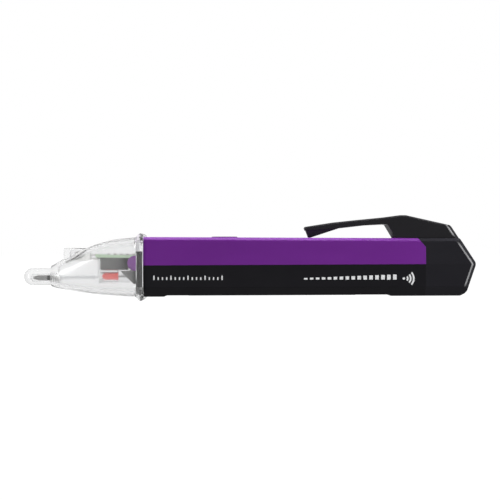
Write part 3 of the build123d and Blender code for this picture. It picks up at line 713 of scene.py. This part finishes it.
def bar_row(bm):
    """Bars that grow step by step towards the rear."""
    for index in range(16):
        upright(bm, 18.6 + index * 1.98, 7.25, 1.2, 0.55 + index * 0.075)


def sensing_arcs(bm):
    """Three arcs that spread from a dot, at the rear end of the bars."""
    half_line = 0.28
    for radius in (1.0, 2.0, 3.0):
        ring_mark(bm, 52.2, 7.6, radius + half_line, radius - half_line, -42, 42)
    ring_mark(bm, 51.9, 7.6, 0.42, 0.02, 0, 360)


def make_marks():
    """Generic printed marks in one piece of ink."""
    bm = bmesh.new()
    tick_row(bm)
    bar_row(bm)
    sensing_arcs(bm)
    bmesh.ops.recalc_face_normals(bm, faces=bm.faces)
    marks = made_object("side_marks", bm, ink_material())
    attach(marks, "grip")


make_marks()


# ---------------------------------------------------------------- solder joints


def lump(bm, x, y, z, radius, height):
    """Low solder fillet: a dome with a slightly concave skirt."""
    sides = 12
    profile = [(1.0, 0.0), (0.72, 0.14), (0.5, 0.42), (0.34, 0.78), (0.16, 0.96)]
    rings = []
    for r, h in profile:
        ring = []
        for index in range(sides):
            a = 2 * math.pi * index / sides
            place = (x + radius * r * math.cos(a), y + radius * r * math.sin(a), z + height * h)
            ring.append(bm.verts.new(Vector(place) * MM))
        rings.append(ring)
    for low, high in zip(rings, rings[1:]):
        for index in range(sides):
            following = (index + 1) % sides
            bm.faces.new((low[index], low[following], high[following], high[index]))
    tip = bm.verts.new(Vector((x, y, z + height)) * MM)
    for index in range(sides):
        bm.faces.new((rings[-1][index], rings[-1][(index + 1) % sides], tip))
    bm.faces.new(list(reversed(rings[0])))


def make_solder():
    """Solder on top of the board for the legs, pins and lead that come up from below."""
    spots = [(-39.7, 1.0), (-39.7, -1.0), (-50.6, 0.0), (-47.8, 2.5), (-42.8, -2.5), (-28.8, 1.6),
             (-28.8, -1.6)]
    board_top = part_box("circuit_board")[1].z / MM
    bm = bmesh.new()
    for x, y in spots:
        lump(bm, x, y, board_top, 0.75, 0.55)
    solder = made_object("solder_joints", bm, metal("solder", (0.68, 0.68, 0.66), 0.24), smooth=True)
    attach(solder, "grip")


make_solder()


# ---------------------------------------------------------------- camera and floor


def make_camera():
    """Long lens square to the near side, level with the middle of the grip."""
    data = bpy.data.cameras.new("camera")
    data.lens = 104.4
    data.sensor_width = 36.0
    data.clip_start = 0.005
    data.clip_end = 20.0
    camera = bpy.data.objects.new("camera", data)
    camera.location = (0.63 * MM, -493 * MM, 17.1 * MM)
    camera.rotation_euler = (math.radians(90), 0, 0)
    scene.collection.objects.link(camera)
    scene.camera = camera


def floor_material():
    """Pale studio paper with a faint fibre."""
    m = Mat("paper")
    fibre = m.noise(90.0, detail=4.0, rough=0.6)
    m.color(m.mix(m.ramp(fibre, 0.3, 0.7), (0.016, 0.016, 0.016), (0.024, 0.024, 0.024)))
    m.rough(m.ramp(fibre, 0.2, 0.8, 0.85, 0.95))
    m.bump(fibre, 0.05, 0.02 * MM)
    m.set(Specular_IOR_Level=0.1, Emission_Color=(1.0, 1.0, 1.0, 1.0), Emission_Strength=0.985)
    return m.mat


def make_floor():
    """Glowing sheet under the object that only the camera sees."""
    half = 4.0
    mesh = bpy.data.meshes.new("floor")
    corners = [(-half, -half, 0), (half, -half, 0), (half, half, 0), (-half, half, 0)]
    mesh.from_pydata(corners, [], [(0, 1, 2, 3)])
    mesh.materials.append(floor_material())
    floor = bpy.data.objects.new("floor", mesh)
    floor.location.z = -0.02 * MM
    floor.visible_diffuse = False
    floor.visible_glossy = False
    floor.visible_transmission = False
    floor.visible_shadow = False
    scene.collection.objects.link(floor)


make_camera()
make_floor()


# ---------------------------------------------------------------- room and lights


def toward_back(tree, start, end, low, high):
    """Background that brightens smoothly from the camera's side to the far side."""
    direction = tree.nodes.new("ShaderNodeTexCoord")
    parts = tree.nodes.new("ShaderNodeSeparateXYZ")
    tree.links.new(direction.outputs["Generated"], parts.inputs[0])
    ramp = tree.nodes.new("ShaderNodeMapRange")
    ramp.inputs["From Min"].default_value = start
    ramp.inputs["From Max"].default_value = end
    ramp.inputs["To Min"].default_value = low
    ramp.inputs["To Max"].default_value = high
    tree.links.new(parts.outputs["Y"], ramp.inputs["Value"])
    made = tree.nodes.new("ShaderNodeBackground")
    made.inputs["Color"].default_value = (1.0, 1.0, 1.0, 1.0)
    tree.links.new(ramp.outputs["Result"], made.inputs["Strength"])
    return made.outputs[0]


def choose(tree, ray, otherwise, chosen):
    """One background for the named kind of ray, another for the rest."""
    path = tree.nodes.new("ShaderNodeLightPath")
    made = tree.nodes.new("ShaderNodeMixShader")
    tree.links.new(path.outputs[ray], made.inputs[0])
    tree.links.new(otherwise, made.inputs[1])
    tree.links.new(chosen, made.inputs[2])
    return made.outputs[0]


def make_room():
    """Soft grey room with a bright far wall; clear parts and the camera see a paler one."""
    world = bpy.data.worlds.new("studio")
    scene.world = world
    world.use_nodes = True
    tree = world.node_tree
    tree.nodes.clear()
    room = toward_back(tree, start=-0.05, end=0.42, low=0.104, high=0.77)
    through_clear = toward_back(tree, start=-0.20, end=1.0, low=0.68, high=1.0)
    backdrop = toward_back(tree, start=-2.0, end=-1.5, low=1.0, high=1.0)
    studio = choose(tree, "Is Transmission Ray", room, through_clear)
    out = tree.nodes.new("ShaderNodeOutputWorld")
    tree.links.new(choose(tree, "Is Camera Ray", studio, backdrop), out.inputs[0])


def softbox(name, place, target, width, height, power, mirrored=False):
    """Rectangular light aimed at a target; only a mirrored one shows in reflections."""
    data = bpy.data.lights.new(name, "AREA")
    data.shape = "RECTANGLE"
    data.size = width
    data.size_y = height
    data.energy = power
    lamp = bpy.data.objects.new(name, data)
    lamp.location = place
    aim = Vector(target) - Vector(place)
    lamp.rotation_euler = aim.to_track_quat("-Z", "Y").to_euler()
    lamp.visible_transmission = False
    lamp.visible_glossy = mirrored
    scene.collection.objects.link(lamp)


make_room()
softbox("top", (0.0, 0.12, 0.74), (0.0, 0.0, 0.0), 1.1, 0.5, 16.0)
softbox("left", (-0.80, -0.62, 0.15), (0.0, 0.0, 0.01), 0.16, 0.9, 4.6, mirrored=True)
softbox("right", (0.85, -0.62, 0.15), (0.0, 0.0, 0.01), 0.16, 0.9, 9.2)

scene.view_settings.view_transform = "Standard"
scene.view_settings.look = "None"
scene.view_settings.exposure = 0.0
scene.view_settings.gamma = 1.0
